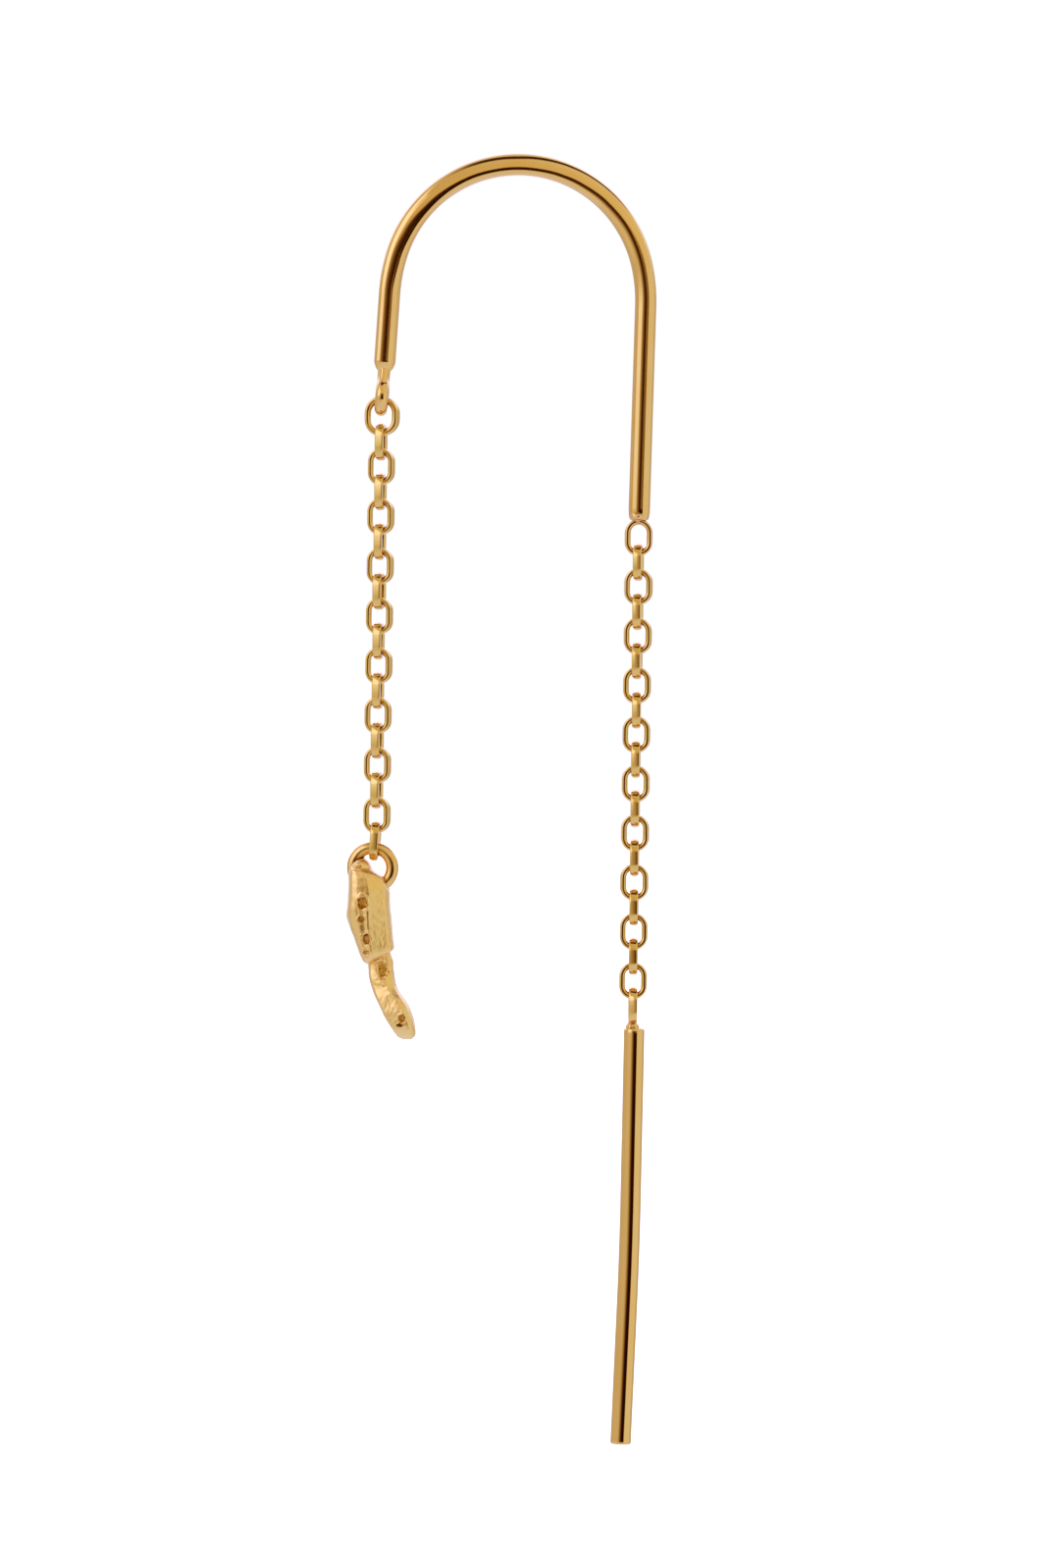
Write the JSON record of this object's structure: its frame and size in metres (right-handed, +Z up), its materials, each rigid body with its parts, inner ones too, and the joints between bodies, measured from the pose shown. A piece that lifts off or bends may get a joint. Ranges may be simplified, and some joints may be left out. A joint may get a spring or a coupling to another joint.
{
  "type": "chain earring",
  "caption": "Ear threader: a U-shaped wire arch with a short chain and a cast charm on one end, and a long chain and a round bar on the other.",
  "frame": {"origin": "top of the arch wire on its centre line, where it hangs in the ear", "axes": "+Z up, +Y from the front to the back, +X to the right as seen from the front"},
  "size_m": [0.0134, 0.0025, 0.0556],
  "materials": {
    "wire_gold": "polished gold plate on drawn wire",
    "chain_gold": "polished gold plate on flattened wire",
    "cast_gold": "softly polished gold plate on a textured casting"
  },
  "bodies": {
    "arch_and_chains": {"ear_arch": "wire_gold", "top_ring": "chain_gold", "short_link_01": "chain_gold", "short_link_02": "chain_gold", "short_link_03": "chain_gold", "short_link_04": "chain_gold", "short_link_05": "chain_gold", "short_link_06": "chain_gold", "short_link_07": "chain_gold", "short_link_08": "chain_gold", "short_link_09": "chain_gold", "short_link_10": "chain_gold", "short_link_11": "chain_gold", "short_link_12": "chain_gold", "short_link_13": "chain_gold", "short_link_14": "chain_gold", "short_link_15": "chain_gold", "short_link_16": "chain_gold", "short_link_17": "chain_gold", "long_link_01": "chain_gold", "long_link_02": "chain_gold", "long_link_03": "chain_gold", "long_link_04": "chain_gold", "long_link_05": "chain_gold", "long_link_06": "chain_gold", "long_link_07": "chain_gold", "long_link_08": "chain_gold", "long_link_09": "chain_gold", "long_link_10": "chain_gold", "long_link_11": "chain_gold", "long_link_12": "chain_gold", "long_link_13": "chain_gold", "long_link_14": "chain_gold", "long_link_15": "chain_gold", "long_link_16": "chain_gold", "long_link_17": "chain_gold", "long_link_18": "chain_gold"},
    "charm_drop": {"jump_ring": "chain_gold", "charm": "cast_gold"},
    "bar_drop": {"bar": "wire_gold"}
  },
  "joints": [
    {"name": "charm_swing", "type": "hinge", "parent": "arch_and_chains", "child": "charm_drop", "pos_m": [-0.0062, 0, -0.0299], "axis": [0.1736, 0.9848, -0.0022], "range_deg": [-60, 25]},
    {"name": "bar_swing", "type": "hinge", "parent": "arch_and_chains", "child": "bar_drop", "pos_m": [0.00494, 0, -0.03587], "axis": [0.9999, 0, -0.0127], "range_deg": [-60, 60]}
  ]
}
